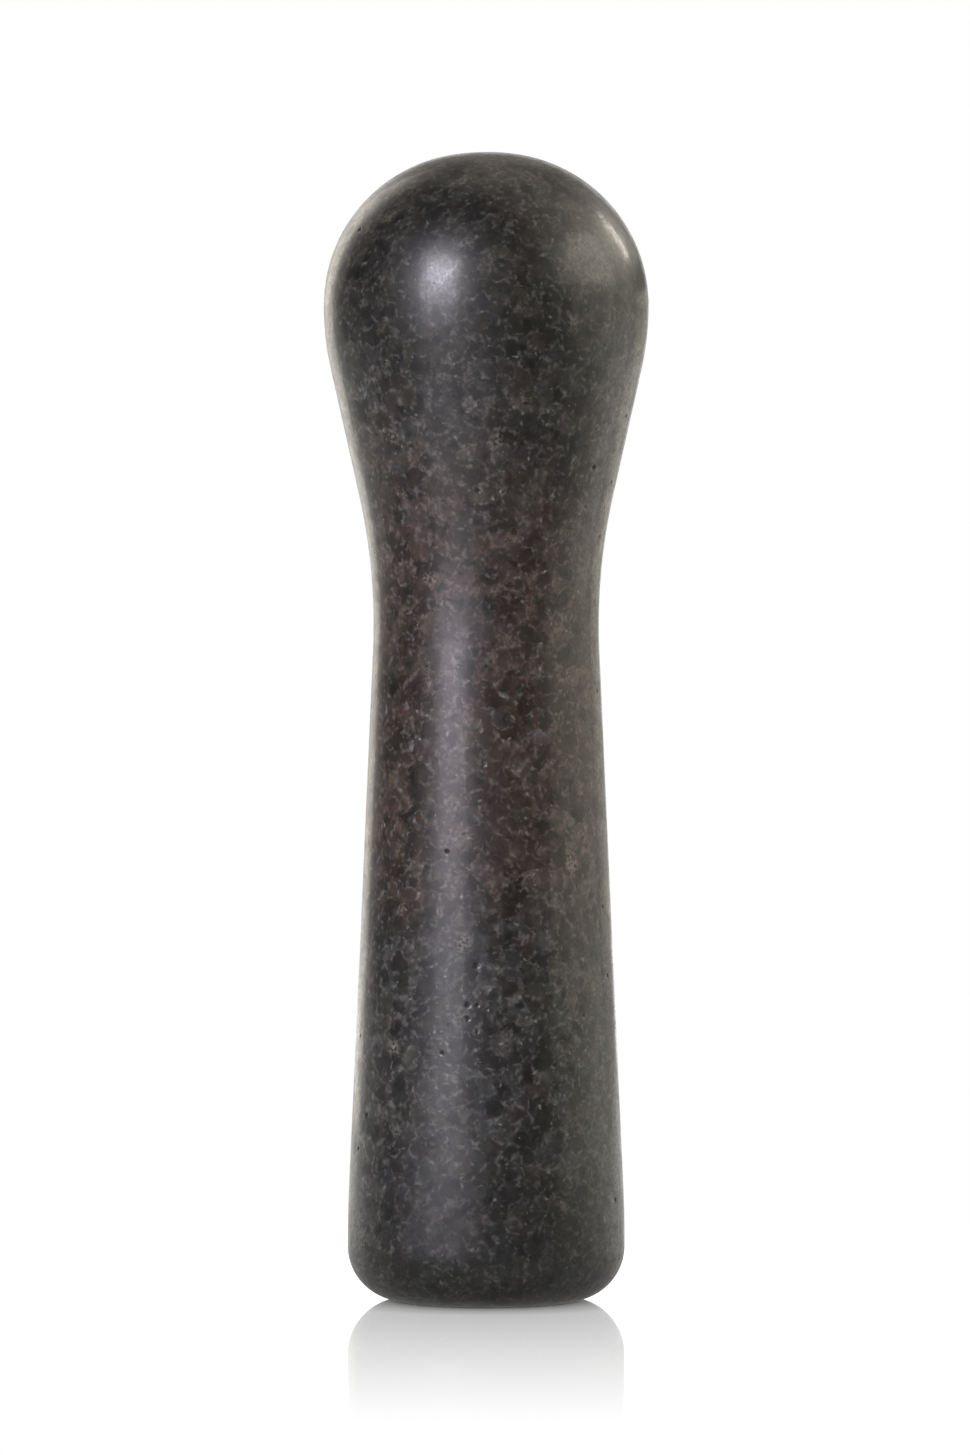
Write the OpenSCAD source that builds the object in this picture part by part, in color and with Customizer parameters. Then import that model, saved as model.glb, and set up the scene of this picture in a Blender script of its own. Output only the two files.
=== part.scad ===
// Stone pestle
//
// A one-piece pestle turned from a block of dark granite: a ball head, a drawn-in neck for
// the hand, and a shaft that widens slowly down to a flat foot with a full round edge.
// Its outline is a chain of arcs and straight stretches, each tangent to the next.
// The axis is Z and the foot stands on z = 0. All sizes are in millimetres and degrees.

/* [Whole] */
// Length from the foot to the top of the head
length = 160; // [130:1:220]

/* [Head] */
// Diameter at the widest line of the head
head_d = 45.4; // [42:0.1:52]
// How far off the axis the head's round is centred, which flattens the crown a little
crown_offset = 1.45; // [0.5:0.05:5]
// Radius of the shallow arc across the crown
crown_arc = 30; // [27:0.5:60]
// Radius of the arc that draws the head in below its widest line
under_arc = 40; // [15:1:90]
// Slope of the straight flank below the head, measured from the axis
flank_angle = 12.6; // [8:0.1:18]

/* [Neck] */
// Diameter at the narrowest line, where the hand closes
neck_d = 31.5; // [27:0.1:35]
// Radius of the hollow that joins the flank to the shaft
neck_arc = 83; // [30:1:150]

/* [Foot] */
// Diameter at the widest line of the foot
foot_d = 38.7; // [35:0.1:46]
// Radius of the long arc that eases the shaft into the foot
belly_arc = 180; // [60:5:400]
// Radius of the round lower edge
edge_arc = 7.5; // [3:0.1:12]

/* [Hidden] */
$fn = 360;

// Each stretch of the outline reaches this far into its neighbour, so that they cross cleanly
lap = 0.002;

head_r = head_d / 2;
neck_r = neck_d / 2;
foot_r = foot_d / 2;

// Points and directions of the half outline are [distance from the axis, height].
// The head's round meets the crown's arc inside it, and both lower arcs of the foot are
// centred at the height of its widest line.
round_arc = head_r - crown_offset;
crown_c = [0, length - crown_arc];
round_rise = sqrt((crown_arc - round_arc + lap) ^ 2 - crown_offset ^ 2);
round_c = crown_c + [crown_offset, round_rise];
crown_edge = crown_c + crown_arc * (round_c - crown_c) / norm(round_c - crown_c);
under_c = [head_r - under_arc, round_c.y];
edge_c = [foot_r - edge_arc, edge_arc];
belly_c = [foot_r - belly_arc, edge_arc];

// The flank leaves the arc below the head and runs straight down until the hollow of the
// neck, tangent to it, just reaches the neck's radius.
flank_out = [cos(flank_angle), -sin(flank_angle)];
flank_down = [-sin(flank_angle), -cos(flank_angle)];
flank_arcs = under_arc + neck_arc;
flank_drop = head_r - neck_r - flank_arcs + (flank_arcs - 2 * lap) * cos(flank_angle);
flank_top = under_c + (under_arc - lap) * flank_out;
flank_end = flank_top + flank_drop / sin(flank_angle) * flank_down;
neck_c = flank_end + (neck_arc - lap) * flank_out;

// The shaft is the straight line that touches the neck's hollow above and the belly's arc
// below, with the two on opposite sides of it.
shaft_span = neck_c - belly_c;
shaft_turn = acos((belly_arc + neck_arc - 2 * lap) / norm(shaft_span));
shaft_slope = atan2(shaft_span.y, shaft_span.x) - shaft_turn;
shaft_out = [cos(shaft_slope), sin(shaft_slope)];
shaft_end = belly_c + (belly_arc - lap) * shaft_out;
shaft_top = neck_c - (neck_arc - lap) * shaft_out;

// The part of a disc that lies between two heights, on the outer side of the axis
module disc_slice(centre, radius, low, high) {
    intersection() {
        translate(centre) circle(radius);
        translate([0, low]) square([head_d + foot_d, high - low]);
    }
}

// Flat foot, its round edge and the long arc above it
module foot_outline() {
    square([edge_c.x, edge_arc]);
    translate(edge_c) circle(edge_arc);
    disc_slice(belly_c, belly_arc, edge_arc, shaft_top.y);
}

// Straight shaft and flank, with the hollow of the neck scooped out between them
module grip_outline() {
    difference() {
        polygon([
            [0, shaft_end.y], shaft_end, shaft_top,
            flank_end, flank_top, [0, flank_top.y],
        ]);
        translate(neck_c) circle(neck_arc);
    }
}

// Arc below the head, the head's round and the flatter crown
module head_outline() {
    disc_slice(under_c, under_arc, flank_end.y, under_c.y);
    disc_slice(round_c, round_arc, round_c.y, length);
    disc_slice(crown_c, crown_arc, crown_edge.y, length + head_r);
}

// The whole pestle, one solid piece of stone
module pestle() {
    color([0.23, 0.22, 0.21])
        rotate_extrude() {
            foot_outline();
            grip_outline();
            head_outline();
        }
}

pestle();
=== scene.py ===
"""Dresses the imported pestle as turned, honed dark granite and stands it in a white studio.

Lengths are metres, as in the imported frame, and are written as millimetres times MM. Azimuths are turned
about the pestle's axis from the side that faces the camera, and are positive towards the camera's right.
"""

import logging
import math
import random
from dataclasses import dataclass
from enum import Enum
from itertools import pairwise

import bpy
import numpy as np
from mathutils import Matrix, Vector


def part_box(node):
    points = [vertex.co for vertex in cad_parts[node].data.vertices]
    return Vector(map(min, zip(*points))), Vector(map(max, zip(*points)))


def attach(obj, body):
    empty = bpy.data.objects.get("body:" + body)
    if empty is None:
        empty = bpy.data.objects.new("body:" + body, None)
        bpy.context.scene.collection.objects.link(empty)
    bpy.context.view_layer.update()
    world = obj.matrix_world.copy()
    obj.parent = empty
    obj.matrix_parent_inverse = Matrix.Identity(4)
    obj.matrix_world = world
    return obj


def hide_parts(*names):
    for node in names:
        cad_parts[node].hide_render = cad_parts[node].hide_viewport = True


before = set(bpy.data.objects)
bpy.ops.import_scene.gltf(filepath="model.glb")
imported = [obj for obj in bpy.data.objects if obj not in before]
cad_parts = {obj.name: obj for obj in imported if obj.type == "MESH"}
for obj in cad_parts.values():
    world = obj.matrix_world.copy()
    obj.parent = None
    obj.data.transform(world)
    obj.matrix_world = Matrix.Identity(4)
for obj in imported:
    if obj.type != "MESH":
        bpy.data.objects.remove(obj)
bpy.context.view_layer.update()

MM = 0.001
LOG = logging.getLogger("pestle")
PIT_MASK = "pit_mask"
WHITE = (1.0, 1.0, 1.0, 1.0)
GLOSS_IOR = 1.5

Socket = bpy.types.NodeSocket
Colour = tuple[float, float, float]
Tints = tuple[Colour, Colour]
Offset = tuple[float, float, float]
Span = tuple[float, float]
Feed = Socket | float | tuple[float, ...]


class Lamp(Enum):
    """The shapes that a studio lamp can have."""

    DISC = "DISK"
    PANEL = "RECTANGLE"


def unit(angle: float) -> Vector:
    """Gives the direction at an angle from the radius direction."""
    return Vector((math.cos(angle), math.sin(angle)))


@dataclass(frozen=True)
class Straight:
    """A straight stretch of the outline, as points of radius and height.

    Attributes:
        start: Where the stretch begins.
        end: Where the stretch ends.
    """

    start: Vector
    end: Vector

    def points(self, step: float) -> list[Vector]:
        """Places points along the stretch, at most a step apart, without its start."""
        count = math.ceil((self.end - self.start).length / step)
        return [self.start.lerp(self.end, i / count) for i in range(1, count + 1)]


@dataclass(frozen=True)
class Arc:
    """A round stretch of the outline, as points of radius and height.

    Attributes:
        centre: The middle of the arc.
        radius: The radius of the arc.
        first: The angle at which the arc begins, from the radius direction.
        last: The angle at which the arc ends.
    """

    centre: Vector
    radius: float
    first: float
    last: float

    def points(self, step: float) -> list[Vector]:
        """Places points along the arc, without its start.

        Args:
            step: The longest distance between two points.

        Returns:
            The points, ending at the arc's end.
        """
        sweep = self.last - self.first
        count = math.ceil(abs(sweep) * self.radius / step)
        turns = [self.first + sweep * i / count for i in range(1, count + 1)]
        return [self.centre + self.radius * unit(turn) for turn in turns]


@dataclass(frozen=True)
class PestleOutline:
    """The turned outline: arcs and straights that run into each other without a corner.

    Attributes:
        length: Height from the foot to the crown.
        head_d: Widest diameter of the head.
        crown_offset: How far the centre of the head's round lies off the axis.
        crown_arc: Radius of the flatter crown.
        under_arc: Radius of the head below its widest place.
        flank_angle: Slope of the straight flank between head and neck, from the axis.
        neck_d: Narrowest diameter.
        neck_arc: Radius of the hollow neck.
        foot_d: Widest diameter of the foot.
        belly_arc: Radius of the swell above the foot's edge.
        edge_arc: Radius of the foot's rounded edge.
    """

    length: float
    head_d: float
    crown_offset: float = 1.45 * MM
    crown_arc: float = 30.0 * MM
    under_arc: float = 40.0 * MM
    flank_angle: float = math.radians(12.6)
    neck_d: float = 31.5 * MM
    neck_arc: float = 83.0 * MM
    foot_d: float = 38.7 * MM
    belly_arc: float = 180.0 * MM
    edge_arc: float = 7.5 * MM

    def stretches(self) -> list[Straight | Arc]:
        """Works the stretches out from the driving sizes.

        Returns:
            The stretches from the middle of the foot up to the crown.
        """
        head_r, neck_r, foot_r = self.head_d / 2, self.neck_d / 2, self.foot_d / 2
        round_arc = head_r - self.crown_offset
        crown_c = Vector((0.0, self.length - self.crown_arc))
        round_rise = math.sqrt((self.crown_arc - round_arc) ** 2 - self.crown_offset**2)
        round_c = crown_c + Vector((self.crown_offset, round_rise))
        crown_edge = math.atan2(round_rise, self.crown_offset)
        under_c = Vector((head_r - self.under_arc, round_c.y))
        edge_c = Vector((foot_r - self.edge_arc, self.edge_arc))
        belly_c = Vector((foot_r - self.belly_arc, self.edge_arc))

        flank_arcs = self.under_arc + self.neck_arc
        flank_in = head_r - neck_r - flank_arcs * (1 - math.cos(self.flank_angle))
        flank_top = under_c + self.under_arc * unit(-self.flank_angle)
        flank_run = flank_in / math.sin(self.flank_angle)
        flank_end = flank_top + flank_run * unit(-math.pi / 2 - self.flank_angle)
        neck_c = flank_end + self.neck_arc * unit(-self.flank_angle)

        span = neck_c - belly_c
        shaft_turn = math.acos((self.belly_arc + self.neck_arc) / span.length)
        shaft_slope = math.atan2(span.y, span.x) - shaft_turn
        shaft_end = belly_c + self.belly_arc * unit(shaft_slope)
        shaft_top = neck_c - self.neck_arc * unit(shaft_slope)
        return [
            Straight(Vector((0.0, 0.0)), Vector((edge_c.x, 0.0))),
            Arc(edge_c, self.edge_arc, -math.pi / 2, 0.0),
            Arc(belly_c, self.belly_arc, 0.0, shaft_slope),
            Straight(shaft_end, shaft_top),
            Arc(neck_c, self.neck_arc, math.pi + shaft_slope, math.pi - self.flank_angle),
            Straight(flank_end, flank_top),
            Arc(under_c, self.under_arc, -self.flank_angle, 0.0),
            Arc(round_c, round_arc, 0.0, crown_edge),
            Arc(crown_c, self.crown_arc, crown_edge, math.pi / 2),
        ]

    def points(self, step: float) -> list[Vector]:
        """Places points from the middle of the foot up to the crown, at most a step apart."""
        start = Vector((0.0, 0.0))
        return [start] + [place for stretch in self.stretches() for place in stretch.points(step)]


@dataclass(frozen=True)
class NoiseLayer:
    """One layer of soft noise.

    Attributes:
        size: Width of one swell, in millimetres.
        detail: How many finer layers lie in it.
        offset: Moves the noise away from that of another layer.
    """

    size: float
    detail: float
    offset: Offset


class NodeBench:
    """Lays shader nodes in one tree and joins them."""

    MIX_FACTOR, MIX_FIRST, MIX_SECOND, MIX_RESULT = 0, 6, 7, 2

    def __init__(self, tree: bpy.types.NodeTree) -> None:
        """Starts work on the tree of a material, a world or a group."""
        self.tree = tree

    @classmethod
    def over(cls, owner: bpy.types.Material | bpy.types.World) -> "NodeBench":
        """Starts work on the emptied tree of a material or a world.

        Args:
            owner: The material or the world.

        Returns:
            The bench.
        """
        owner.use_nodes = True
        owner.node_tree.nodes.clear()
        return cls(owner.node_tree)

    def plug(self, socket: Socket, feed: Feed) -> None:
        """Joins a socket to another node's output, or sets its own value.

        Args:
            socket: The input to feed.
            feed: An output, or a plain value.
        """
        if isinstance(feed, Socket):
            self.tree.links.new(feed, socket)
        else:
            socket.default_value = feed

    def add(
        self, kind: str, feeds: dict[str | int, Feed] | None = None, **settings: object
    ) -> bpy.types.Node:
        """Adds a node.

        Args:
            kind: Blender's name for the node.
            feeds: What goes into the node, by the input's name or number.
            **settings: The node's own choices.

        Returns:
            The new node.
        """
        node = self.tree.nodes.new(kind)
        for name, value in settings.items():
            setattr(node, name, value)
        for key, feed in (feeds or {}).items():
            self.plug(node.inputs[key], feed)
        return node

    def math(self, operation: str, first: Feed, second: Feed = 0.0, clamp: bool = False) -> Socket:
        """Works out one sum, by Blender's name for it, and holds it between 0 and 1 if clamped."""
        node = self.add("ShaderNodeMath", {0: first, 1: second}, operation=operation, use_clamp=clamp)
        return node.outputs[0]

    def product(self, *factors: Feed) -> Socket:
        """Multiplies numbers with each other.

        Args:
            *factors: The numbers, two at least.

        Returns:
            Their product.
        """
        whole, *others = factors
        for other in others:
            whole = self.math("MULTIPLY", whole, other)
        return whole

    def ease(self, value: Feed, low: float, high: float, start: float = 0.0, end: float = 1.0) -> Socket:
        """Eases from the start level to the end level while a value runs from low to high."""
        feeds = {"Value": value, "From Min": low, "From Max": high, "To Min": start, "To Max": end}
        return self.add("ShaderNodeMapRange", feeds, interpolation_type="SMOOTHSTEP").outputs["Result"]

    def spread(self, value: Feed, low: float, high: float) -> Socket:
        """Stretches a value that runs from 0 to 1, so that it runs from low to high."""
        feeds = {"Value": value, "To Min": low, "To Max": high}
        return self.add("ShaderNodeMapRange", feeds).outputs["Result"]

    def tint(self, factor: Feed, first: Feed, second: Feed, how: str = "MIX") -> Socket:
        """Lays one colour over another.

        Args:
            factor: How much of the second colour shows.
            first: The colour below.
            second: The colour on top.
            how: Blender's name for the way they mix.

        Returns:
            The mixed colour.
        """
        feeds = {self.MIX_FACTOR: factor, self.MIX_FIRST: first, self.MIX_SECOND: second}
        mix = self.add("ShaderNodeMix", feeds, data_type="RGBA", blend_type=how)
        return mix.outputs[self.MIX_RESULT]

    def dimmed(self, colour: Feed, level: Socket) -> Socket:
        """Multiplies a colour by a level."""
        grey = self.add("ShaderNodeCombineColor", {0: level, 1: level, 2: level}).outputs[0]
        return self.tint(1.0, colour, grey, "MULTIPLY")

    def noise(self, place: Socket, layer: NoiseLayer) -> bpy.types.Node:
        """Adds a layer of soft noise at a place that is given in millimetres."""
        feeds = {"Vector": self.shifted(place, layer.offset), "Scale": 1 / layer.size, "Detail": layer.detail}
        return self.add("ShaderNodeTexNoise", feeds)

    def shifted(self, place: Socket, by: Offset) -> Socket:
        """Moves a place, so that two patterns don't fall in line with each other."""
        return self.add("ShaderNodeVectorMath", {0: place, 1: by}, operation="ADD").outputs[0]


def rgba(colour: Colour) -> tuple[float, float, float, float]:
    """Gives a colour its fourth number."""
    return (*colour, 1.0)


@dataclass(frozen=True)
class Scatter:
    """One kind of mark that is scattered through the stone.

    Attributes:
        cell: Width of the space that holds one mark at most, in millimetres.
        share: Share of those spaces that hold one.
        radius: Middling radius of a mark, in millimetres.
        soft: Share of the radius over which a mark fades out.
        faint: How much the marks differ in strength: 0 makes them all alike.
        offset: Moves the marks away from those of another kind.
    """

    cell: float
    share: float
    radius: float
    soft: float
    faint: float
    offset: Offset


@dataclass(frozen=True)
class GraniteFinish:
    """Dark honed granite: tinted crystals with pale edges, specks in clusters, pits and a soft polish.

    Sizes and heights of the pattern are in millimetres, colours are linear. A contrast of 0 leaves the
    stone plain, and with a contrast of 1 its darkest places are black and its palest twice as pale.

    Attributes:
        matrix: Colour of the stone between its marks.
        hues: Tints of the greenest and of the reddest crystals.
        casts: Tints of the darkest and of the palest crystals.
        warmths: Tints of the coolest and of the warmest crystals.
        felspar: Colour of the pale crystal edges and flecks.
        beige: Colour of the sparse crumbly patches.
        pale_speck: Colour of the small pale crystals.
        black_speck: Colour of the small black crystals, and of the dirt and painted shade in pits.
        rusts: What the rusty zone multiplies the darkest and the palest crystals' colour by.
        rust_from: Heights between which the rusty zone fades in.
        rust_to: Heights between which it fades out.
        rust_least: How strong the rust is in the least rusty areas.
        foot_painted_shade: What the stone's colour is multiplied by at the foot, as painted shade.
        foot_to: Heights between which the foot's painted shade fades out.
        foot_marks: How strong the pale marks are in the foot's painted shade, where 1 is as strong as higher
            up.
        head_painted_shade: What the stone's colour is multiplied by at the head, as painted shade.
        head_from: Heights between which the head's painted shade fades in.
        head_marks: How strong the pale marks are on the head, in its painted shade, where 1 is as strong as
            lower down.
        quiet_from: Heights between which the marks weaken to that.
        drift: The noise that bends the crystals and the marks.
        drift_reach: How far it bends them.
        crystal_size: Width of a crystal.
        crystal_blend: How softly the crystals run into each other.
        crystal_levels: How bright the darkest and the palest crystals are, where 1 is the matrix.
        areas: The noise that parts the stone into areas of wide and of narrow seams.
        seam_reach: Least and greatest half width of the grainy seams between crystals.
        seam_tone: What the stone's colour is multiplied by inside a crystal and in a seam.
        seam_contrast: Contrast of the crumbs in the seams.
        crumbs: The noise of the crumbs and of the soft flecks.
        mottle: The soft mottling over the crystals.
        mottle_levels: What the mottling multiplies the stone's colour by, which leans to the pale side.
        fine: The finest mottling.
        fine_contrast: Its contrast.
        clouds: The wide clouds.
        cloud_contrast: Their contrast.
        edge_width: Half the width of the pale strokes along the crystals' edges.
        edge_strength: How pale the strokes are.
        breaks: The noise that breaks the strokes up.
        fleck_strength: How pale the flecks are.
        lumps: The noise of the larger flecks.
        lump_strength: How pale the larger flecks are, where 1 is as pale as the others.
        dark_spots: The round dark grains.
        dark_level: What they multiply the stone's colour by.
        beige_spots: The sparse crumbly patches.
        beige_strength: How much of their colour they show.
        black_dots: The small black crystals.
        pale_dots: The small pale crystals.
        speck_strength: How pale the small pale crystals are.
        sparkles: The finest pale crystals.
        sparkle_strength: How pale the finest are.
        pit_dirt_and_shade: How black the dirt and the painted shade make a pit.
        pit_roughness: How much rougher a pit is.
        roughness: Least and greatest roughness of the honed stone.
        polish: Strength of the polished skin on the dullest and on the brightest crystals.
        polish_roughness: Roughness of the polished skin.
        polish_mottle: Contrast that the mottling gives the polish.
        polish_grain: Contrast that the finest mottling gives it.
        black_dull: How much of the polish the black crystals lack.
        dark_dull: How much of it the dark grains lack.
        relief: Height of the unevenness that the polish left between hard and soft grains.
        fine_relief: How high the finest mottling stands, where 1 is as high as the mottling.
        black_relief: How deep the black crystals lie in the same measure.
    """

    matrix: Colour = (0.0265, 0.0253, 0.0235)
    hues: Tints = ((0.96, 1.04, 0.92), (1.055, 0.96, 1.05))
    casts: Tints = ((1.06, 1.0, 0.95), (0.975, 1.0, 1.02))
    warmths: Tints = ((0.92, 1.0, 1.1), (1.1, 1.0, 0.87))
    felspar: Colour = (0.165, 0.16, 0.148)
    beige: Colour = (0.2, 0.186, 0.148)
    pale_speck: Colour = (0.40, 0.395, 0.372)
    black_speck: Colour = (0.005, 0.005, 0.005)
    rusts: Tints = ((1.3, 0.805, 0.62), (1.1, 0.9, 0.835))
    rust_from: Span = (46.0, 63.0)
    rust_to: Span = (98.0, 132.0)
    rust_least: float = 0.88
    foot_painted_shade: Colour = (0.455, 0.455, 0.436)
    foot_to: Span = (8.0, 26.0)
    foot_marks: float = 0.58
    head_painted_shade: Colour = (0.53, 0.508, 0.448)
    head_from: Span = (114.0, 133.0)
    head_marks: float = 0.5
    quiet_from: Span = (118.0, 146.0)
    drift: NoiseLayer = NoiseLayer(2.2, 2.0, (0.0, 0.0, 0.0))
    drift_reach: float = 2.6
    crystal_size: float = 2.5
    crystal_blend: float = 0.65
    crystal_levels: Span = (0.28, 1.66)
    areas: NoiseLayer = NoiseLayer(3.5, 2.0, (31.0, 7.0, 3.0))
    seam_reach: Span = (0.15, 1.1)
    seam_tone: Span = (0.85, 1.15)
    seam_contrast: float = 0.28
    crumbs: NoiseLayer = NoiseLayer(0.75, 1.0, (7.0, 33.0, 19.0))
    mottle: NoiseLayer = NoiseLayer(1.8, 2.0, (41.0, 3.0, 23.0))
    mottle_levels: Span = (0.825, 1.7)
    fine: NoiseLayer = NoiseLayer(0.45, 1.0, (9.0, 29.0, 2.0))
    fine_contrast: float = 0.15
    clouds: NoiseLayer = NoiseLayer(11.0, 2.0, (0.0, 0.0, 0.0))
    cloud_contrast: float = 0.18
    edge_width: float = 0.45
    edge_strength: float = 0.44
    breaks: NoiseLayer = NoiseLayer(0.85, 1.0, (15.0, 19.0, 37.0))
    fleck_strength: float = 0.34
    lumps: NoiseLayer = NoiseLayer(1.65, 2.0, (27.0, 5.0, 39.0))
    lump_strength: float = 0.8
    dark_spots: Scatter = Scatter(2.2, 0.7, 1.0, 0.6, 0.6, (0.0, 0.0, 0.0))
    dark_level: float = 0.22
    beige_spots: Scatter = Scatter(5.0, 0.38, 1.35, 0.8, 0.6, (4.0, 2.0, 9.0))
    beige_strength: float = 0.72
    black_dots: Scatter = Scatter(1.3, 0.55, 0.3, 0.6, 1.0, (5.0, 9.0, 13.0))
    pale_dots: Scatter = Scatter(0.9, 0.42, 0.36, 1.0, 1.6, (8.0, 21.0, 3.0))
    speck_strength: float = 0.46
    sparkles: Scatter = Scatter(1.3, 0.3, 0.17, 0.8, 2.0, (2.0, 11.0, 27.0))
    sparkle_strength: float = 0.6
    pit_dirt_and_shade: float = 0.6
    pit_roughness: float = 0.3
    roughness: Span = (0.34, 0.5)
    polish: Span = (0.208, 0.432)
    polish_roughness: float = 0.15
    polish_mottle: float = 0.25
    polish_grain: float = 0.45
    black_dull: float = 0.7
    dark_dull: float = 0.5
    relief: float = 0.012
    fine_relief: float = 0.35
    black_relief: float = 0.5

    def material(self) -> bpy.types.Material:
        """Builds the granite.

        Returns:
            The material.
        """
        stone = bpy.data.materials.new("honed_dark_granite")
        GraniteShader(self, NodeBench.over(stone)).lay()
        return stone


class GraniteShader:
    """Lays the granite's nodes, from its crystals up to its polished skin.

    Each span gives the two values of a noise between which something fades in. A seam's fade is given
    in shares of its half width, and the marks' radii in shares of the middling one.
    """

    RUST_SPAN = (0.25, 0.55)
    SEAM_SPAN = (0.35, 0.68)
    SEAM_FADE = (0.4, 1.1)
    CRUMB_SPAN = (0.3, 0.7)
    MOTTLE_SPAN = (0.42, 0.78)
    BREAK_SPAN = (0.46, 0.72)
    FLECK_SPAN = (0.56, 0.8)
    LUMP_SPAN = (0.6, 0.85)
    BEIGE_SPAN = (0.38, 0.6)
    NOISE_SPAN = (0.28, 0.72)
    RADIUS_SPREAD = (0.5, 1.5)

    def __init__(self, finish: GraniteFinish, bench: NodeBench) -> None:
        """Lays the noises, the marks and the crystals that the stone is made from.

        Args:
            finish: The granite.
            bench: The bench over the material's tree.
        """
        self.finish = finish
        self.bench = bench
        spot = bench.add("ShaderNodeTexCoord").outputs["Object"]
        place = bench.add("ShaderNodeMapping", {"Vector": spot, "Scale": (1 / MM,) * 3}).outputs["Vector"]
        self.height = bench.add("ShaderNodeSeparateXYZ", {"Vector": place}).outputs["Z"]
        self.pit = bench.add("ShaderNodeAttribute", attribute_name=PIT_MASK).outputs["Fac"]
        bent = self.bend(place)

        self.mottle, self.fine, self.clouds, self.areas, self.breaks = (
            bench.noise(place, layer).outputs["Fac"]
            for layer in (finish.mottle, finish.fine, finish.clouds, finish.areas, finish.breaks)
        )
        self.crumbs, self.lumps = (
            bench.noise(bent, layer).outputs["Fac"] for layer in (finish.crumbs, finish.lumps)
        )
        group = self.scatter_group()
        self.dark, self.beige, self.black, self.pale, self.sparkle = (
            self.marks(group, bent, kind)
            for kind in (
                finish.dark_spots, finish.beige_spots, finish.black_dots, finish.pale_dots, finish.sparkles
            )
        )

        feeds = {"Vector": bent, "Scale": 1 / finish.crystal_size}
        borders = bench.add("ShaderNodeTexVoronoi", feeds, feature="DISTANCE_TO_EDGE")
        feeds["Smoothness"] = finish.crystal_blend
        crystals = bench.add("ShaderNodeTexVoronoi", feeds, feature="SMOOTH_F1")
        self.own = bench.add("ShaderNodeSeparateColor", {"Color": crystals.outputs["Color"]}).outputs
        self.inward = bench.product(borders.outputs["Distance"], finish.crystal_size)
        reach = bench.ease(self.areas, *self.SEAM_SPAN, *finish.seam_reach)
        self.seam = bench.ease(bench.math("DIVIDE", self.inward, reach), *self.SEAM_FADE, 1.0, 0.0)

    def bend(self, place: Socket) -> Socket:
        """Bends the stone's places, so that crystals and marks come out crooked.

        Args:
            place: Where on the piece, in millimetres.

        Returns:
            The bent place.
        """
        swell = self.bench.noise(place, self.finish.drift).outputs["Color"]
        centred = self.bench.shifted(swell, (-0.5, -0.5, -0.5))
        feeds = {0: centred, 1: (self.finish.drift_reach,) * 3, 2: place}
        return self.bench.add("ShaderNodeVectorMath", feeds, operation="MULTIPLY_ADD").outputs[0]

    def scatter_group(self) -> bpy.types.ShaderNodeTree:
        """Builds the group that scatters round marks.

        Returns:
            A group with a mask of the marks.
        """
        group = bpy.data.node_groups.new("granite_scatter", "ShaderNodeTree")
        group.interface.new_socket("Place", in_out="INPUT", socket_type="NodeSocketVector")
        for name in ("Per millimetre", "Share", "Radius", "Soft", "Faint"):
            group.interface.new_socket(name, in_out="INPUT", socket_type="NodeSocketFloat")
        group.interface.new_socket("Mask", in_out="OUTPUT", socket_type="NodeSocketFloat")
        bench = NodeBench(group)
        given = bench.add("NodeGroupInput").outputs
        feeds = {"Vector": given["Place"], "Scale": given["Per millimetre"]}
        cells = bench.add("ShaderNodeTexVoronoi", feeds, feature="F1")
        own = bench.add("ShaderNodeSeparateColor", {"Color": cells.outputs["Color"]}).outputs
        kept = bench.math("LESS_THAN", own["Red"], given["Share"])
        size = bench.spread(own["Green"], *self.RADIUS_SPREAD)
        reach = bench.product(given["Radius"], given["Per millimetre"], size)
        inside = bench.math("SUBTRACT", 1.0, bench.math("DIVIDE", cells.outputs["Distance"], reach))
        dot = bench.ease(bench.math("DIVIDE", inside, given["Soft"]), 0.0, 1.0)
        strength = bench.math("POWER", own["Blue"], given["Faint"])
        bench.plug(bench.add("NodeGroupOutput").inputs["Mask"], bench.product(dot, kept, strength))
        return group

    def marks(self, group: bpy.types.ShaderNodeTree, place: Socket, kind: Scatter) -> Socket:
        """Scatters one kind of mark.

        Args:
            group: The group that scatters.
            place: Where on the piece, in millimetres.
            kind: The kind of mark.

        Returns:
            A mask of the marks.
        """
        feeds = {
            "Place": self.bench.shifted(place, kind.offset),
            "Per millimetre": 1 / kind.cell,
            "Share": kind.share,
            "Radius": kind.radius,
            "Soft": kind.soft,
            "Faint": kind.faint,
        }
        return self.bench.add("ShaderNodeGroup", feeds, node_tree=group).outputs["Mask"]

    def swing(self, noise: Socket, contrast: float) -> Socket:
        """Turns noise into a level about 1."""
        return self.bench.ease(noise, *self.NOISE_SPAN, 1.0 - contrast, 1.0 + contrast)

    def between(self, channel: str, tints: Tints) -> Socket:
        """Gives each crystal its own colour between two, by one channel of its random colour."""
        return self.bench.tint(self.own[channel], *map(rgba, tints))

    def lay(self) -> None:
        """Lays the whole stone."""
        surface = self.surface(self.marked(self.zoned(self.crystal_colour())))
        self.bench.add("ShaderNodeOutputMaterial", {"Surface": surface})

    def crystal_colour(self) -> Socket:
        """Colours the crystals and the crumbly seams between them.

        Returns:
            The stone's colour without its zones and marks.
        """
        finish, bench = self.finish, self.bench
        crumbly = bench.ease(self.crumbs, *self.CRUMB_SPAN, -finish.seam_contrast, finish.seam_contrast)
        shade = bench.product(
            bench.spread(self.own["Red"], *finish.crystal_levels),
            bench.spread(self.seam, *finish.seam_tone),
            bench.math("ADD", 1.0, bench.product(self.seam, crumbly)),
            bench.ease(self.mottle, *self.MOTTLE_SPAN, *finish.mottle_levels),
            self.swing(self.fine, finish.fine_contrast),
            self.swing(self.clouds, finish.cloud_contrast),
        )
        body = bench.dimmed(rgba(finish.matrix), shade)
        for channel, tints in (("Green", finish.hues), ("Red", finish.casts), ("Blue", finish.warmths)):
            body = bench.tint(1.0, body, self.between(channel, tints), "MULTIPLY")
        return body

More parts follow.
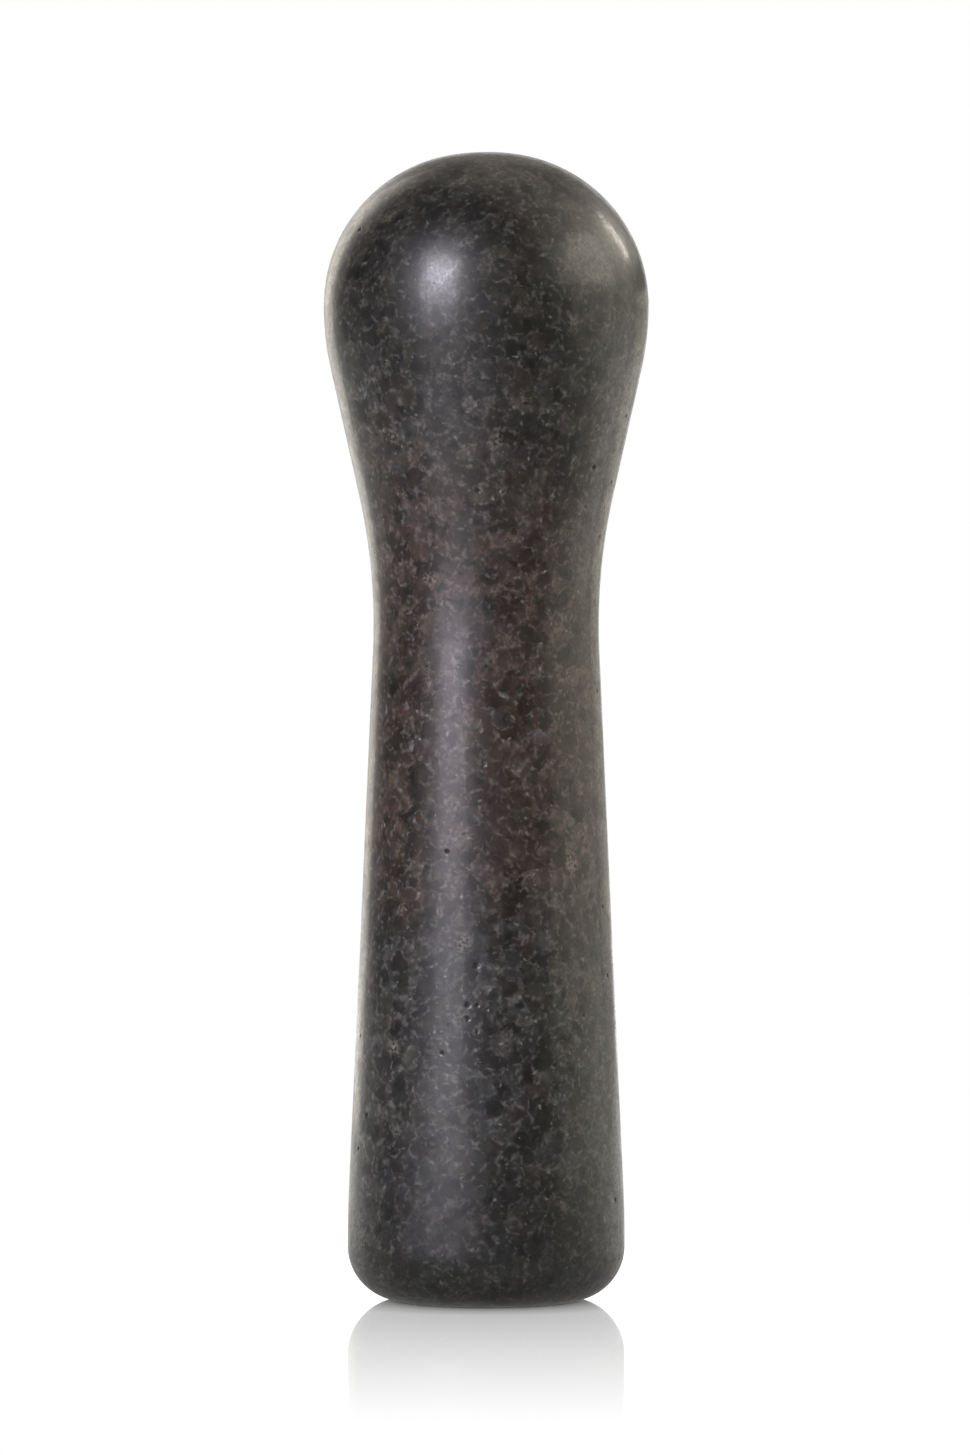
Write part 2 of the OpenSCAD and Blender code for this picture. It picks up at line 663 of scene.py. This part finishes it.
    def zoned(self, body: Socket) -> Socket:
        """Darkens the stone's ends with painted shade and reddens its middle.

        Args:
            body: The stone's colour.

        Returns:
            The changed colour.
        """
        finish, bench, height = self.finish, self.bench, self.height
        # Painted shade: the foot and the head are darkened.
        at_foot = bench.ease(height, *finish.foot_to, 1.0, 0.0)
        body = bench.tint(at_foot, body, rgba(finish.foot_painted_shade), "MULTIPLY")
        at_head = bench.ease(height, *finish.head_from)
        body = bench.tint(at_head, body, rgba(finish.head_painted_shade), "MULTIPLY")
        rusty = bench.product(
            bench.ease(height, *finish.rust_from),
            bench.ease(height, *finish.rust_to, 1.0, 0.0),
            bench.ease(self.areas, *self.RUST_SPAN, finish.rust_least, 1.0),
        )
        return bench.tint(rusty, body, self.between("Red", finish.rusts), "MULTIPLY")

    def marked(self, body: Socket) -> Socket:
        """Lays flecks, strokes, grains, specks, and dirt with painted shade in the pits, over the stone.

        Args:
            body: The stone's colour.

        Returns:
            The changed colour.
        """
        finish, bench = self.finish, self.bench
        # The pale marks weaken in the painted shade of the foot and the head.
        vivid = bench.product(
            bench.ease(self.height, *finish.quiet_from, 1.0, finish.head_marks),
            bench.ease(self.height, *finish.foot_to, finish.foot_marks, 1.0),
        )

        def paint(under: Socket, mask: Socket, strength: float, colour: Colour) -> Socket:
            """Paints one kind of pale mark over the stone."""
            return bench.tint(bench.product(mask, strength, vivid), under, rgba(colour))

        fleck = bench.product(bench.ease(self.crumbs, *self.FLECK_SPAN), self.seam)
        lump = bench.ease(self.lumps, *self.LUMP_SPAN, 0.0, finish.lump_strength)
        edge = bench.ease(self.inward, 0.0, finish.edge_width, 1.0, 0.0)
        stroke = bench.product(edge, bench.ease(self.breaks, *self.BREAK_SPAN))
        patch = bench.product(self.beige, bench.ease(self.fine, *self.BEIGE_SPAN))
        speck = bench.product(self.pale, self.seam)
        body = paint(body, bench.math("MAXIMUM", fleck, lump), finish.fleck_strength, finish.felspar)
        body = paint(body, stroke, finish.edge_strength, finish.felspar)
        body = bench.dimmed(body, bench.spread(self.dark, 1.0, finish.dark_level))
        body = paint(body, patch, finish.beige_strength, finish.beige)
        body = paint(body, speck, finish.speck_strength, finish.pale_speck)
        body = paint(body, self.sparkle, finish.sparkle_strength, finish.pale_speck)
        body = bench.tint(self.black, body, rgba(finish.black_speck))
        # Dirt and painted shade: the pits are darkened towards black.
        return bench.tint(bench.product(self.pit, finish.pit_dirt_and_shade), body, rgba(finish.black_speck))

    def surface(self, body: Socket) -> Socket:
        """Hones the stone and lays its uneven polish over it.

        Args:
            body: The stone's colour.

        Returns:
            The finished surface.
        """
        finish, bench = self.finish, self.bench
        pitted = bench.product(self.pit, finish.pit_roughness)
        rough = bench.math("ADD", bench.spread(self.mottle, *finish.roughness), pitted, clamp=True)
        dull = bench.math(
            "ADD", bench.product(self.black, finish.black_dull), bench.product(self.dark, finish.dark_dull)
        )
        skin = bench.product(
            bench.spread(self.own["Blue"], *finish.polish),
            self.swing(self.mottle, finish.polish_mottle),
            self.swing(self.fine, finish.polish_grain),
            bench.math("SUBTRACT", 1.0, bench.math("MAXIMUM", dull, self.pit)),
        )
        uneven = bench.math("ADD", self.mottle, bench.product(self.fine, finish.fine_relief))
        uneven = bench.math("SUBTRACT", uneven, bench.product(self.black, finish.black_relief))
        feeds = {"Height": uneven, "Strength": 1.0, "Distance": finish.relief * MM}
        normal = bench.add("ShaderNodeBump", feeds).outputs["Normal"]
        shader = bench.add("ShaderNodeBsdfPrincipled", {
            "Base Color": body,
            "Roughness": rough,
            "IOR": GLOSS_IOR,
            "Coat Weight": skin,
            "Coat Roughness": finish.polish_roughness,
            "Coat IOR": GLOSS_IOR,
            "Normal": normal,
            "Coat Normal": normal,
        })
        return shader.outputs["BSDF"]


@dataclass
class GranitePestle:
    """The one piece of stone: its turned body, its small pits and its granite.

    Attributes:
        outline: The turned outline.
        finish: The granite.
        ring_step: Longest distance between two rings of the turned mesh.
        spin_steps: How many faces go round.
        weld: Distance below which points of the turned mesh are joined.
        pit_count: How many pits the stone has.
        pit_radii: Smallest and largest radius of a pit.
        pit_depth: Depth of the deepest pit.
        pit_cuts: How often the faces at a pit are cut.
        pit_seed: Seed of the pits' places.
        cluster_height: Height of the cluster of pits on the front.
        cluster_reach: How far the cluster reaches up, down and to either side.
        cluster_count: How many pits it has.
        cluster_radii: Smallest and largest radius of its pits.
        swell: How far the polish wanders from the true outline.
        swell_size: How wide those swells are.
        swell_from: Heights between which they fade in, so that the foot stays flat.
        crown_patch: Length of outline that the crown's patch of the bake map takes.
        foot_patch: Length of outline that the foot's patch of the bake map takes.
        bake_margin: Empty margin of the bake map, as a share of its width.
        bake_turn: Turns that its strip has room for, as the last column ends just past one.
    """

    outline: PestleOutline
    finish: GraniteFinish
    ring_step: float = 0.6 * MM
    spin_steps: int = 240
    weld: float = 0.001 * MM
    pit_count: int = 64
    pit_radii: Span = (0.25 * MM, 0.55 * MM)
    pit_depth: float = 0.16 * MM
    pit_cuts: int = 3
    pit_seed: int = 7
    cluster_height: float = 40.5 * MM
    cluster_reach: float = 2.6 * MM
    cluster_count: int = 7
    cluster_radii: Span = (0.3 * MM, 0.7 * MM)
    swell: float = 0.05 * MM
    swell_size: float = 9.0 * MM
    swell_from: Span = (1.0 * MM, 5.0 * MM)
    crown_patch: float = 14.0 * MM
    foot_patch: float = 18.0 * MM
    bake_margin: float = 0.006
    bake_turn: float = 1.005

    NODE = "pestle"
    BODY = "root"
    SLOT = "granite"
    PIT_GROUP = "pits"
    SIDE_GROUP = "polished_side"
    BAKE_MAP = "OFBake"

    def make(self) -> bpy.types.Object:
        """Returns:
            The finished piece.
        """
        piece = self.turn()
        self.lay_bake_map(piece)
        self.polish(piece)
        self.sink_pits(piece)
        piece.data.materials.append(self.finish.material())
        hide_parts(self.NODE)
        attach(piece, self.BODY)
        return piece

    def turn(self) -> bpy.types.Object:
        """Draws the outline point by point and spins it about the axis.

        Returns:
            The turned piece, closed and smooth.
        """
        places = self.outline.points(self.ring_step)
        bpy.ops.object.select_all(action="DESELECT")
        bpy.ops.mesh.primitive_plane_add(size=self.ring_step)
        piece = bpy.context.object
        piece.name = piece.data.name = "pestle_stone"
        bpy.ops.object.mode_set(mode="EDIT")
        bpy.ops.mesh.select_all(action="SELECT")
        bpy.ops.mesh.merge(type="CENTER")
        for here, there in pairwise(places):
            move = there - here
            bpy.ops.mesh.extrude_vertices_move(TRANSFORM_OT_translate={"value": (move.x, 0.0, move.y)})
        bpy.ops.mesh.select_all(action="SELECT")
        bpy.ops.mesh.spin(steps=self.spin_steps, angle=math.tau, center=(0.0, 0.0, 0.0), axis=(0.0, 0.0, 1.0))
        bpy.ops.mesh.select_all(action="SELECT")
        bpy.ops.mesh.remove_doubles(threshold=self.weld)
        bpy.ops.mesh.normals_make_consistent(inside=False)
        bpy.ops.object.mode_set(mode="OBJECT")
        bpy.ops.object.shade_smooth()
        return piece

    def lay_bake_map(self, piece: bpy.types.Object) -> None:
        """Unrolls the side as one strip beside two round patches, for the crown and for the foot.

        Args:
            piece: The turned piece.
        """
        margin = self.bake_margin
        mesh = piece.data
        spots = vertex_places(mesh)
        outline = np.array([tuple(p) for p in self.outline.points(self.ring_step)])
        run = np.concatenate(([0.0], np.cumsum(np.hypot(*np.diff(outline, axis=0).T))))
        flat = np.column_stack((np.hypot(spots[:, 0], spots[:, 1]), spots[:, 2]))
        nearest = np.array([np.argmin(((outline - p) ** 2).sum(axis=1)) for p in flat])
        along = run[nearest]
        turn = np.arctan2(spots[:, 1], spots[:, 0]) / math.tau + 0.5

        sizes = np.zeros(len(mesh.polygons), np.int32)
        mesh.polygons.foreach_get("loop_total", sizes)
        corners = np.zeros(len(mesh.loops), np.int32)
        mesh.loops.foreach_get("vertex_index", corners)
        faces = np.repeat(np.arange(len(sizes)), sizes)
        middle = np.bincount(faces, along[corners]) / sizes
        u, v = turn[corners].copy(), along[corners]
        widest = np.zeros(len(sizes))
        np.maximum.at(widest, faces, u)
        u[(widest[faces] - u) > 0.5] += 1.0

        total = run[-1]
        side = total - self.crown_patch - self.foot_patch
        scale = (1.0 - 2 * margin) / side
        column = 2 * scale * max(self.crown_patch, self.foot_patch)
        strip = 1.0 - column - 4 * margin
        uv = np.column_stack((margin + u / self.bake_turn * strip, margin + (v - self.foot_patch) * scale))
        round_x = 1.0 - margin - column / 2
        for patch, reach, centre_y in (
            (middle < self.foot_patch, v, margin + self.foot_patch * scale),
            (middle > total - self.crown_patch, total - v, 1.0 - margin - self.crown_patch * scale),
        ):
            on = patch[faces]
            turned = math.tau * u[on]
            uv[on, 0] = round_x + reach[on] * scale * np.cos(turned)
            uv[on, 1] = centre_y + reach[on] * scale * np.sin(turned)
        layer = mesh.uv_layers.new(name=self.BAKE_MAP)
        layer.data.foreach_set("uv", uv.ravel().astype(np.float32))

    def polish(self, piece: bpy.types.Object) -> None:
        """Lets the polished side wander a little from the true outline, as a hand-finished stone does.

        It only sinks in, so that the stone stays inside its outline.

        Args:
            piece: The turned piece.
        """
        spots = vertex_places(piece.data)
        low, high = self.swell_from
        weights = np.clip((spots[:, 2] - low) / (high - low), 0.0, 1.0)
        weigh(piece, self.SIDE_GROUP, weights)
        swells = bpy.data.textures.new("polish_swells", "CLOUDS")
        swells.noise_scale = self.swell_size
        swells.noise_depth = 1
        wander = piece.modifiers.new("polish", "DISPLACE")
        wander.texture = swells
        wander.texture_coords = "LOCAL"
        wander.vertex_group = self.SIDE_GROUP
        wander.mid_level = 1.0
        wander.strength = self.swell
        apply(piece, wander)

    def sink_pits(self, piece: bpy.types.Object) -> None:
        """Sinks the small pits where crystals broke out, and marks them for the material.

        Args:
            piece: The polished piece.
        """
        pits = self.pit_places()
        centres = np.array([tuple(place) for place, _ in pits])
        radii = np.array([radius for _, radius in pits])
        mesh = piece.data
        middles = np.zeros(len(mesh.polygons) * 3)
        mesh.polygons.foreach_get("center", middles)
        near = closeness(middles.reshape(-1, 3), centres, radii + self.ring_step) > 0.0
        bpy.ops.object.mode_set(mode="EDIT")
        bpy.ops.mesh.select_mode(type="FACE")
        bpy.ops.mesh.select_all(action="DESELECT")
        bpy.ops.object.mode_set(mode="OBJECT")
        mesh.polygons.foreach_set("select", near)
        bpy.ops.object.mode_set(mode="EDIT")
        bpy.ops.mesh.subdivide(number_cuts=self.pit_cuts)
        bpy.ops.object.mode_set(mode="OBJECT")

        depth = closeness(vertex_places(mesh), centres, radii)
        weigh(piece, self.PIT_GROUP, depth)
        mask = mesh.attributes.new(PIT_MASK, "FLOAT", "POINT")
        mask.data.foreach_set("value", depth.astype(np.float32))
        dent = piece.modifiers.new("pits", "DISPLACE")
        dent.vertex_group = self.PIT_GROUP
        dent.mid_level = 0.0
        dent.strength = -self.pit_depth
        apply(piece, dent)

    def pit_places(self) -> list[tuple[Vector, float]]:
        """Scatters the pits over the side.

        Returns:
            Each pit's place and radius.
        """
        draw = random.Random(self.pit_seed)
        rings = [p for p in self.outline.points(self.ring_step) if p.y > self.outline.edge_arc]
        pits = []

        def sink(ring: Vector, turn: float, radii: Span) -> None:
            """Adds one pit on a ring of the outline."""
            place = Vector((ring.x * math.cos(turn), ring.x * math.sin(turn), ring.y))
            pits.append((place, draw.uniform(*radii)))

        while len(pits) < self.pit_count:
            ring = draw.choice(rings)
            turn = draw.uniform(0.0, math.tau)
            if draw.random() < ring.x / (self.outline.head_d / 2):
                sink(ring, turn, self.pit_radii)
        for _ in range(self.cluster_count):
            level = self.cluster_height + draw.uniform(-self.cluster_reach, self.cluster_reach)
            aside = draw.uniform(-self.cluster_reach, self.cluster_reach)
            ring = min(rings, key=lambda p: abs(p.y - level))
            sink(ring, aside / ring.x - math.pi / 2, self.cluster_radii)
        return pits


def vertex_places(mesh: bpy.types.Mesh) -> np.ndarray:
    """Lists where a mesh's vertices are.

    Args:
        mesh: The mesh.

    Returns:
        One row for each vertex.
    """
    spots = np.zeros(len(mesh.vertices) * 3)
    mesh.vertices.foreach_get("co", spots)
    return spots.reshape(-1, 3)


def closeness(spots: np.ndarray, centres: np.ndarray, radii: np.ndarray) -> np.ndarray:
    """Says how far inside the nearest pit each place lies.

    Args:
        spots: The places, one in each row.
        centres: The pits' middles, one in each row.
        radii: The pits' radii.

    Returns:
        1 at a pit's middle, falling smoothly to 0 at its rim and outside.
    """
    roundness = 1.5
    deepest = np.zeros(len(spots))
    for centre, radius in zip(centres, radii):
        away = np.linalg.norm(spots - centre, axis=1) / radius
        deepest = np.maximum(deepest, np.clip(1.0 - away**2, 0.0, 1.0) ** roundness)
    return deepest


def weigh(piece: bpy.types.Object, name: str, weights: np.ndarray) -> None:
    """Adds a vertex group with the given weights.

    Args:
        piece: The piece.
        name: The group's name.
        weights: One weight for each vertex.
    """
    group = piece.vertex_groups.new(name=name)
    for index in np.flatnonzero(weights):
        group.add([int(index)], float(weights[index]), "REPLACE")


def apply(piece: bpy.types.Object, modifier: bpy.types.Modifier) -> None:
    """Applies a modifier to a piece."""
    bpy.context.view_layer.objects.active = piece
    bpy.ops.object.modifier_apply(modifier=modifier.name)


@dataclass(frozen=True)
class StudioLamp:
    """One soft lamp of the studio.

    Attributes:
        name: What the lamp is called.
        shape: Disc or panel.
        azimuth: Where it stands round the pestle, in degrees.
        distance: How far from the axis it stands.
        height: Height of its middle.
        aim: Height on the axis that it faces.
        width: Its width.
        tall: Its height, as long as the width for a disc.
        radiance: How bright its face is, where white is 1.
        colour: Its colour.
    """

    name: str
    shape: Lamp
    azimuth: float
    distance: float
    height: float
    aim: float
    width: float
    tall: float
    radiance: float
    colour: Colour

    def hang(self) -> None:
        """Adds the lamp, out of the camera's sight."""
        turn = math.radians(self.azimuth)
        place = Vector((self.distance * math.sin(turn), -self.distance * math.cos(turn), self.height))
        facing = Vector((0.0, 0.0, self.aim)) - place
        rotation = facing.to_track_quat("-Z", "Y").to_euler()
        bpy.ops.object.light_add(type="AREA", location=place, rotation=rotation)
        lamp = bpy.context.object
        lamp.name = lamp.data.name = self.name
        lamp.visible_camera = False
        lamp.data.shape = self.shape.value
        lamp.data.size = self.width
        lamp.data.size_y = self.tall
        lamp.data.color = self.colour
        area = self.width * self.tall * (math.pi / 4 if self.shape is Lamp.DISC else 1.0)
        lamp.data.energy = self.radiance * area * math.pi


def studio_lamps() -> list[StudioLamp]:
    """Lists the studio's lamps, with their values in the order of a lamp's attributes.

    Returns:
        The lamps.
    """
    violet, warm, straw = (1.0, 0.958, 1.075), (1.0, 0.94, 0.805), (1.0, 0.94, 0.785)
    amber, ivory = (1.0, 0.9, 0.78), (1.0, 0.95, 0.855)
    disc, panel = Lamp.DISC, Lamp.PANEL
    return [
        StudioLamp("key_core", disc, -34.0, 0.60, 0.34, 0.15, 0.205, 0.205, 11.2, violet),
        StudioLamp("key_softbox", panel, -33.5, 0.62, 0.345, 0.345, 0.29, 0.39, 6.5, violet),
        StudioLamp("key_spill", panel, -33.5, 0.64, 0.39, 0.39, 0.30, 0.70, 2.0, violet),
        StudioLamp("key_pool", disc, -26.0, 0.36, 0.02, 3.0, 0.32, 0.32, 0.8, (1.0, 0.97, 1.04)),
        StudioLamp("key_glint", disc, -46.0, 0.13, 0.004, 3.0, 0.12, 0.12, 0.9, (1.0, 0.95, 1.13)),
        StudioLamp("key_wing", panel, -60.0, 0.66, 0.10, 0.10, 0.28, 0.20, 0.2, (1.0, 0.97, 0.95)),
        StudioLamp("left_back_low", panel, -149.0, 0.60, 0.24, 0.24, 0.22, 0.48, 0.82, ivory),
        StudioLamp("left_back_middle", panel, -149.0, 0.62, 0.34, 0.34, 0.23, 0.68, 0.56, ivory),
        StudioLamp("left_back_tall", panel, -149.0, 0.64, 0.475, 0.475, 0.23, 0.95, 0.72, ivory),
        StudioLamp("left_back_high", panel, -145.0, 0.66, 0.40, 0.40, 0.28, 0.50, 0.75, ivory),
        StudioLamp("right_fill", panel, 95.0, 0.50, 0.475, 0.475, 0.62, 0.95, 0.88, straw),
        StudioLamp("right_softbox", panel, 77.5, 0.62, 0.465, 0.465, 0.60, 0.39, 2.35, straw),
        StudioLamp("right_wing", panel, 108.0, 0.66, 0.45, 0.45, 0.40, 0.30, 0.6, straw),
        StudioLamp("right_back_low", panel, 144.0, 0.64, 0.125, 0.125, 0.30, 0.17, 0.85, straw),
        StudioLamp("right_back_high", panel, 142.0, 0.64, 0.54, 0.54, 0.30, 0.52, 0.5, ivory),
        StudioLamp("right_back_strip", panel, 131.0, 0.60, 0.43, 0.14, 0.10, 0.20, 9.0, warm),
        StudioLamp("back_sweep", panel, 180.0, 0.70, 0.23, 0.23, 0.50, 0.46, 1.2, (1.0, 0.99, 0.96)),
        StudioLamp("back_top", panel, 180.0, 0.72, 0.72, 0.72, 0.60, 0.52, 0.4, amber),
        StudioLamp("overhead", panel, 140.0, 0.25, 0.98, 0.15, 0.80, 0.60, 0.6, amber),
    ]


@dataclass
class Studio:
    """The white studio: floor, lamps, surround and camera.

    Attributes:
        image_width: Width of the photograph, in pixels.
        image_height: Height of the photograph, in pixels.
        axis_column: Pixel column of the pestle's axis.
        floor_row: Pixel row of the foot's middle on the floor.
        pixels_per_metre: Scale of the photograph at the pestle's axis.
        camera_distance: How far the camera stands from the axis.
        sensor: Width of the camera's sensor, in millimetres.
        floor_radius: Radius of the floor.
        floor_sides: How many sides the floor's edge has.
        mirror_reach: Distance from the axis at which the floor stops mirroring.
        mirror_fade: How quickly the mirror fades on the way.
        floor_glow: What the stone sees of the floor in front of it and behind it, where white is 1.
        glow_colour: Its colour.
        glow_span: Distances behind the axis between which it grows from the one to the other.
        side_glow: What it is multiplied by far to either side.
        side_span: Distances to either side between which it falls to that.
        under_shadow: What it is multiplied by under the foot, as the stone's painted shadow.
        under_span: Distances from the axis between which it grows from that to its full strength.
        contact_reach: How far from the stone the floor is shaded by it.
        contact_depth: How strong that shade is.
        surround: What the stone sees of the room, where white is 1.
    """

    image_width: int = 970
    image_height: int = 1455
    axis_column: float = 486.17
    floor_row: float = 1299.12
    pixels_per_metre: float = 7165.4
    camera_distance: float = 0.85
    sensor: float = 36.0
    floor_radius: float = 4.0
    floor_sides: int = 96
    mirror_reach: float = 0.15
    mirror_fade: float = 1.05
    floor_glow: Span = (0.2, 1.15)
    glow_colour: Colour = (1.0, 0.985, 0.95)
    glow_span: Span = (-0.1, 0.15)
    side_glow: float = 0.4
    side_span: Span = (0.2, 0.6)
    under_shadow: float = 0.6
    under_span: Span = (12.0 * MM, 30.0 * MM)
    contact_reach: float = 7.0 * MM
    contact_depth: float = 0.5
    surround: float = 0.06

    def make(self) -> None:
        """Sets the studio up."""
        self.lay_floor()
        self.light_room()
        for lamp in studio_lamps():
            lamp.hang()
            LOG.info("lamp %s", lamp.name)
        self.place_camera()
        bpy.context.scene.view_settings.view_transform = "Standard"

    def lay_floor(self) -> None:
        """Lays the white floor, glossy near the pestle."""
        bpy.ops.object.select_all(action="DESELECT")
        bpy.ops.mesh.primitive_circle_add(
            vertices=self.floor_sides, radius=self.floor_radius, fill_type="NGON"
        )
        floor = bpy.context.object
        floor.name = floor.data.name = "floor"
        floor.data.materials.append(self.floor_material())
        LOG.info("floor %s", floor.name)

    def floor_material(self) -> bpy.types.Material:
        """Builds the floor's white gloss.

        Returns:
            The material.
        """
        gloss = bpy.data.materials.new("white_gloss_floor")
        bench = NodeBench.over(gloss)
        spot = bench.add("ShaderNodeTexCoord").outputs["Object"]
        away = bench.add("ShaderNodeVectorMath", {0: spot}, operation="LENGTH").outputs["Value"]
        near = bench.math("SUBTRACT", 1.0, bench.math("DIVIDE", away, self.mirror_reach), clamp=True)
        fade = bench.math("POWER", near, self.mirror_fade)
        fresnel = bench.add("ShaderNodeFresnel", {"IOR": GLOSS_IOR}).outputs["Fac"]
        mirror = bench.add("ShaderNodeBsdfGlossy", {"Color": WHITE, "Roughness": 0.0})
        open_sky = bench.add("ShaderNodeAmbientOcclusion", {"Distance": self.contact_reach})
        lit = bench.math("POWER", open_sky.outputs["AO"], self.contact_depth)
        white = bench.add("ShaderNodeEmission", {"Color": WHITE, "Strength": lit})
        feeds = {0: bench.product(fresnel, fade), 1: white.outputs[0], 2: mirror.outputs[0]}
        seen = bench.add("ShaderNodeMixShader", feeds)

        along = bench.add("ShaderNodeSeparateXYZ", {"Vector": spot}).outputs
        # The glow that the stone sees is darkened under the foot, as a painted shadow of the stone.
        glow = bench.product(
            bench.ease(along["Y"], *self.glow_span, *self.floor_glow),
            bench.ease(bench.math("ABSOLUTE", along["X"]), *self.side_span, 1.0, self.side_glow),
            bench.ease(away, *self.under_span, self.under_shadow, 1.0),
        )
        dim = bench.add("ShaderNodeEmission", {"Color": rgba(self.glow_colour), "Strength": glow})
        by_camera = bench.add("ShaderNodeLightPath").outputs["Is Camera Ray"]
        feeds = {0: by_camera, 1: dim.outputs[0], 2: seen.outputs[0]}
        mixed = bench.add("ShaderNodeMixShader", feeds)
        bench.add("ShaderNodeOutputMaterial", {"Surface": mixed.outputs[0]})
        return gloss

    def light_room(self) -> None:
        """Makes the room white to the camera and to the floor's mirror, and dim to the stone."""
        room = bpy.data.worlds.new("white_studio")
        bench = NodeBench.over(room)
        path = bench.add("ShaderNodeLightPath")
        shown = bench.math("MAXIMUM", path.outputs["Is Camera Ray"], path.outputs["Is Singular Ray"])
        strength = bench.spread(shown, self.surround, 1.0)
        light = bench.add("ShaderNodeBackground", {"Color": WHITE, "Strength": strength})
        bench.add("ShaderNodeOutputWorld", {"Surface": light.outputs[0]})
        bpy.context.scene.world = room

    def place_camera(self) -> None:
        """Stands the level camera where the photograph was taken from."""
        aside = (self.image_width / 2 - self.axis_column) / self.pixels_per_metre
        eye = (self.floor_row - self.image_height / 2) / self.pixels_per_metre
        place = (aside, -self.camera_distance, eye)
        bpy.ops.object.camera_add(location=place, rotation=(math.pi / 2, 0.0, 0.0))
        camera = bpy.context.object
        camera.name = camera.data.name = "camera"
        camera.data.sensor_width = self.sensor
        camera.data.lens = self.sensor * self.pixels_per_metre * self.camera_distance / self.image_height
        bpy.context.scene.camera = camera


def main() -> None:
    """Builds the pestle and its studio."""
    logging.basicConfig(level=logging.INFO, format="%(name)s: %(message)s")
    low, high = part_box(GranitePestle.NODE)
    outline = PestleOutline(length=high.z - low.z, head_d=high.x - low.x)
    piece = GranitePestle(outline, GraniteFinish()).make()
    LOG.info("piece %s, %d faces", piece.name, len(piece.data.polygons))
    Studio().make()


if __name__ == "__main__":
    main()
